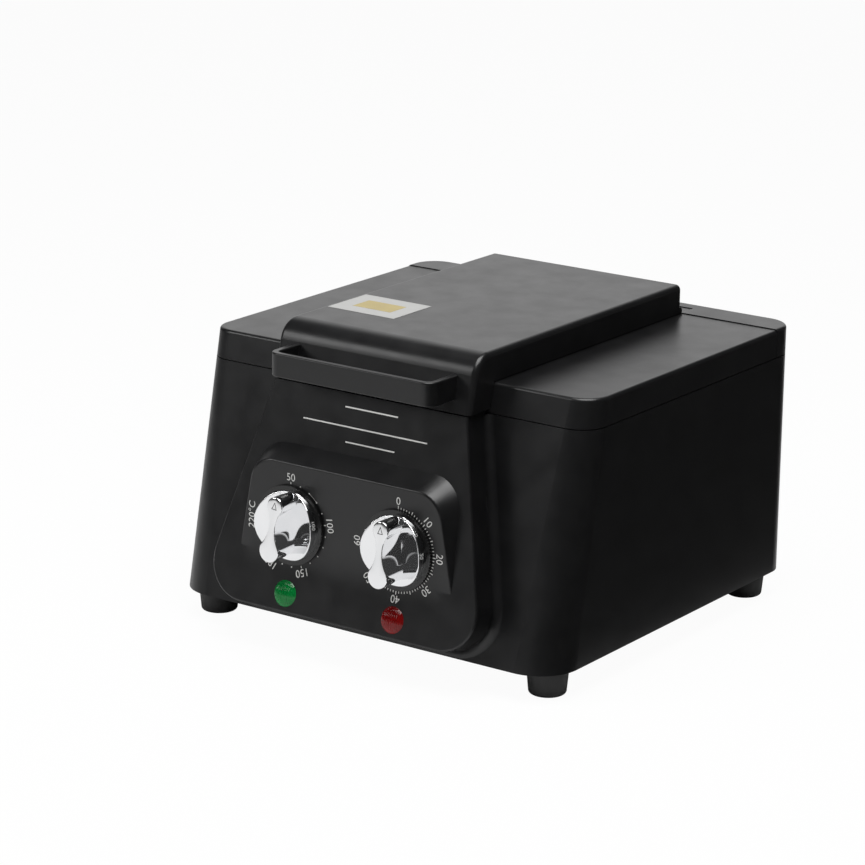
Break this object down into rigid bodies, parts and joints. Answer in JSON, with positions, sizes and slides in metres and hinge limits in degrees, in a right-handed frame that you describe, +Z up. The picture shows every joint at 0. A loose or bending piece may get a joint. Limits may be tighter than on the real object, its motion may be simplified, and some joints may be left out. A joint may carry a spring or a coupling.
{
  "type": "dry heat sterilizer",
  "caption": "Bench-top dry heat sterilizer: black casing, rear-hinged lid with a strap handle, temperature and timer knobs on a sloped front, two lamps, heated steel chamber with a tray.",
  "frame": {"origin": "on the bench, under the middle of the box round the whole instrument, knobs and inlet flange included", "axes": "+Z up, -Y towards the front with the knobs, +X to the right as seen from the front"},
  "size_m": [0.3, 0.326, 0.2075],
  "materials": {
    "casing": "black satin moulding",
    "screw": "zinc-plated steel",
    "base_sheet": "black painted sheet",
    "foot": "black rubber",
    "tank": "drawn stainless sheet",
    "tray": "perforated stainless sheet",
    "wool": "mineral wool",
    "shield": "aluminised sheet",
    "heater_sheath": "heat-tinted sheath",
    "control_body": "moulded control body",
    "copper": "copper",
    "knob_cap": "bright chrome",
    "knob_skirt": "gloss black",
    "shaft": "plain steel",
    "green_lens": "green lamp lens",
    "red_lens": "red lamp lens",
    "gland": "black nylon",
    "terminal": "white ceramic-like block",
    "brass": "brass",
    "gasket": "silicone rubber",
    "hinge": "stainless hinge"
  },
  "bodies": {
    "base": {"housing": "casing", "top_cover": "casing", "rear_cap": "casing", "cover_screws": "screw", "base_screws": "screw", "foot_screws": "screw", "flange_screws": "screw", "hanger_screws": "screw", "control_screws": "screw", "hinge_base_screws": "screw", "base_plate": "base_sheet", "foot_front_left": "foot", "foot_front_right": "foot", "foot_rear_left": "foot", "foot_rear_right": "foot", "chamber": "tank", "instrument_tray": "tray", "insulation": "wool", "heat_shield": "shield", "heater": "heater_sheath", "heater_clips": "screw", "thermal_cutout": "control_body", "sensor_line": "copper", "temperature_control": "control_body", "timer_movement": "control_body", "power_lamp_lens": "green_lens", "heat_lamp_lens": "red_lens", "power_lamp_holder": "control_body", "heat_lamp_holder": "control_body", "cord_gland": "gland", "gland_nut": "gland", "terminal_block": "terminal", "earth_stud": "brass", "hinge_fixed_leaf": "hinge", "hinge_pin": "hinge"},
    "lid": {"lid_cover": "casing", "lid_liner": "tank", "liner_screws": "screw", "lid_insulation": "wool", "lid_gasket": "gasket", "handle": "casing", "handle_screws": "screw", "hinge_moving_leaf": "hinge", "hinge_lid_screws": "screw"},
    "temperature_dial": {"temperature_knob": "knob_cap", "temperature_skirt": "knob_skirt", "temperature_shaft": "shaft"},
    "timer_dial": {"timer_knob": "knob_cap", "timer_skirt": "knob_skirt", "timer_shaft": "shaft"}
  },
  "joints": [
    {"name": "lid_hinge", "type": "hinge", "parent": "base", "child": "lid", "pos_m": [0, 0.13325, 0.1888], "axis": [-1, 0, 0], "range_deg": [0, 95]},
    {"name": "temperature_turn", "type": "hinge", "parent": "base", "child": "temperature_dial", "pos_m": [-0.042, -0.14055, 0.085], "axis": [0, 1, 0], "range_deg": [0, 272]},
    {"name": "timer_turn", "type": "hinge", "parent": "base", "child": "timer_dial", "pos_m": [0.042, -0.14055, 0.085], "axis": [0, 1, 0], "range_deg": [0, 270]}
  ]
}
